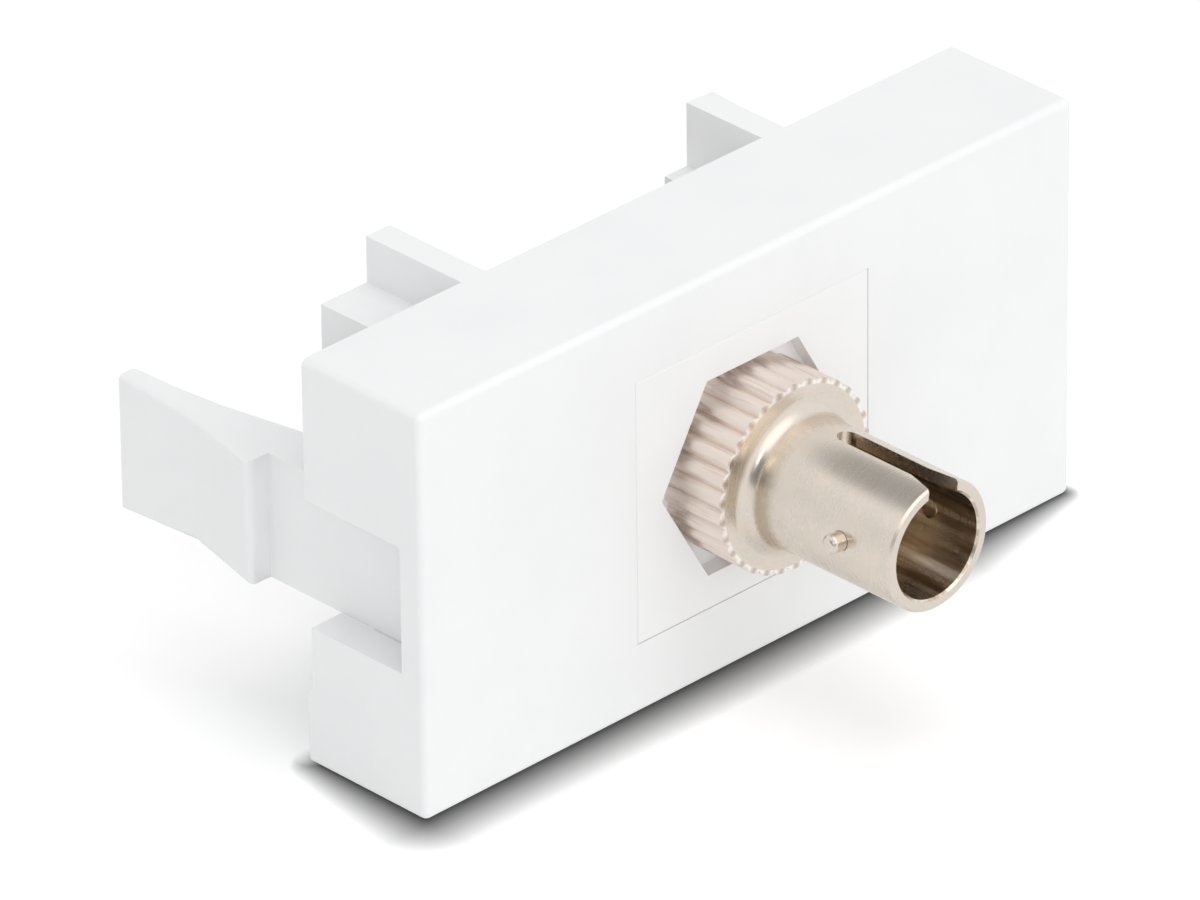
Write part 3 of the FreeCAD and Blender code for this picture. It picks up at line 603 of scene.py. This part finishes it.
# %% Lay the floor
FLOOR_HALF = 1500 * MM
FOOT_HALF_LENGTH, FOOT_MIDDLE, FOOT_HALF_DEPTH = 22.2, 4.05, 3.75
BAND_WIDTH, LEAST_WIDTH, DARKEST, FADE_POWER = 3.3, 0.8, 0.07, 1.25
SHRINK_REARWARDS, SHRINK_RIGHTWARDS, RIGHT_PART = 0.21, 0.26, 14
NO_BAND_BEHIND = (7.0, 9.5)
WHITE, BLACK, PAPER = (1, 1, 1, 1), (0, 0, 0, 1), (0.93, 0.93, 0.93, 1)

floor_z = cad_box[0][2]
corners = [(-FLOOR_HALF, -FLOOR_HALF, floor_z), (FLOOR_HALF, -FLOOR_HALF, floor_z),
           (FLOOR_HALF, FLOOR_HALF, floor_z), (-FLOOR_HALF, FLOOR_HALF, floor_z)]
floor_mesh = bpy.data.meshes.new("floor")
floor_mesh.from_pydata(corners, [], [(0, 1, 2, 3)])
floor = bpy.data.objects.new("floor", floor_mesh)
bpy.context.scene.collection.objects.link(floor)

paper = Finish("paper_floor", {"Roughness": 0.9, "Specular IOR Level": 0.1,
                               "Emission Strength": 0.16})
x, y, z = paper.split(paper.place())
beyond_x = (x.math("ABSOLUTE") - FOOT_HALF_LENGTH).math("MAXIMUM", 0.0)
beyond_y = ((y - FOOT_MIDDLE).math("ABSOLUTE") - FOOT_HALF_DEPTH).math("MAXIMUM", 0.0)
reach = (beyond_x * beyond_x + beyond_y * beyond_y).math("SQRT")
rearwards, rightwards = y.math("MAXIMUM", 0.0), (x - RIGHT_PART).math("MAXIMUM", 0.0)
width = BAND_WIDTH - rearwards * SHRINK_REARWARDS - rightwards * SHRINK_RIGHTWARDS
faded = (reach / width.math("MAXIMUM", LEAST_WIDTH)).math("MINIMUM", 1.0)
open_paper = faded.math("POWER", FADE_POWER) * (1 - DARKEST) + DARKEST
open_paper = open_paper.math("MAXIMUM", y.between(*NO_BAND_BEHIND))
seen = paper.node("ShaderNodeLightPath", {}, {}, "Is Camera Ray")
paper.feed("Base Color", paper.blend(seen * (1 - open_paper), PAPER, BLACK))
paper.feed("Emission Color", paper.blend(seen * open_paper, BLACK, WHITE))
floor_mesh.materials.append(paper.material)
print("floor at", round(floor_z / MM, 3), "mm")

# %% [markdown]
# ## Studio light
#
# A broad panel above lights the floor and the plate's top. A larger and stronger one in front
# fills the upright front face, which is the brightest in the photograph, and a small one near the
# camera keeps the left end from going grey. All three are so large and so close that no shadow has
# a hard edge. The first two are hidden from mirrors: what the metal mirrors is painted on the
# world in the next step.

# %% Hang the light panels
def panel(name, place, size, power, mirrored):
    """A square soft box at a place in metres that faces the part."""
    data = bpy.data.lights.new(name, "AREA")
    data.shape = "SQUARE"
    data.size = size
    data.energy = power
    lamp = bpy.data.objects.new(name, data)
    bpy.context.scene.collection.objects.link(lamp)
    away = np.array(place) / np.linalg.norm(place)
    side = np.cross([0.0, 0.0, 1.0], away)
    side /= np.linalg.norm(side)
    pose = np.eye(4)
    pose[:3, 0], pose[:3, 1], pose[:3, 2] = side, np.cross(away, side), away
    pose[:3, 3] = place
    lamp.matrix_world = pose.T.tolist()
    lamp.visible_glossy = mirrored


panel("top_panel", (0.02, -0.04, 0.70), size=0.45, power=0.85, mirrored=False)
panel("front_panel", (0.06, -0.82, 0.30), size=0.95, power=2.05, mirrored=False)
panel("near_camera", tuple(back * 0.8), size=0.22, power=0.34, mirrored=True)

# %% [markdown]
# ## The room that the metal mirrors
#
# Polished metal shows the room around it, so the world's brightness depends on the direction.
# Mirrors see a white room with three soft patches: a grey ceiling behind the part, a dark end of
# the room at the left, and a bright soft box overhead in front. Each patch is given by a direction,
# and the dot product with it says how near a ray points: from `edge` to `core` the level goes from
# 1 to the patch's own. Plain fill light stays even at a lower level, and the camera itself sees a
# pure white background.

# %% Set the world
#           what it is              towards                edge  core  level
PATCHES = (("grey ceiling behind", (0.07, 0.62, 0.78), 0.86, 0.97, 0.42),
           ("dark end of the room", (-0.94, -0.28, 0.12), 0.60, 0.90, 0.25),
           ("soft box overhead", (-0.10, -0.50, 0.86), 0.70, 0.95, 1.5))
FILL_LEVEL, BACKGROUND_LEVEL = 0.78, 1.0

world = bpy.data.worlds.new("studio")
bpy.context.scene.world = world
world.use_nodes = True
tree = world.node_tree


def world_node(kind, settings, inputs):
    """Add a node to the world: settings first, then values or links."""
    node = tree.nodes.new(kind)
    for key, value in settings.items():
        setattr(node, key, value)
    for key, value in inputs.items():
        if isinstance(value, bpy.types.NodeSocket):
            tree.links.new(value, node.inputs[key])
        else:
            node.inputs[key].default_value = value
    return node


direction = world_node("ShaderNodeTexCoord", {}, {}).outputs["Generated"]
mirrored = 1.0
for title, towards, edge, core, level in PATCHES:
    nearness = world_node("ShaderNodeVectorMath", {"operation": "DOT_PRODUCT"},
                          {0: direction, 1: towards}).outputs["Value"]
    patch = world_node("ShaderNodeMapRange", {"interpolation_type": "SMOOTHSTEP"},
                       {"Value": nearness, "From Min": edge, "From Max": core,
                        "To Min": 1.0, "To Max": level}).outputs[0]
    mirrored = world_node("ShaderNodeMath", {"operation": "MULTIPLY"},
                          {0: mirrored, 1: patch}).outputs[0]
    print("room:", title)

path = world_node("ShaderNodeLightPath", {}, {}).outputs
mirror_ray = world_node("ShaderNodeMath", {"operation": "MAXIMUM"},
                        {0: path["Is Glossy Ray"], 1: path["Is Transmission Ray"]}).outputs[0]
lit = world_node("ShaderNodeMix", {}, {0: mirror_ray, 2: FILL_LEVEL, 3: mirrored}).outputs[0]
strength = world_node("ShaderNodeMix", {},
                      {0: path["Is Camera Ray"], 2: lit, 3: BACKGROUND_LEVEL}).outputs[0]
background = next(n for n in tree.nodes if n.type == "BACKGROUND")
background.inputs["Color"].default_value = WHITE
tree.links.new(strength, background.inputs["Strength"])
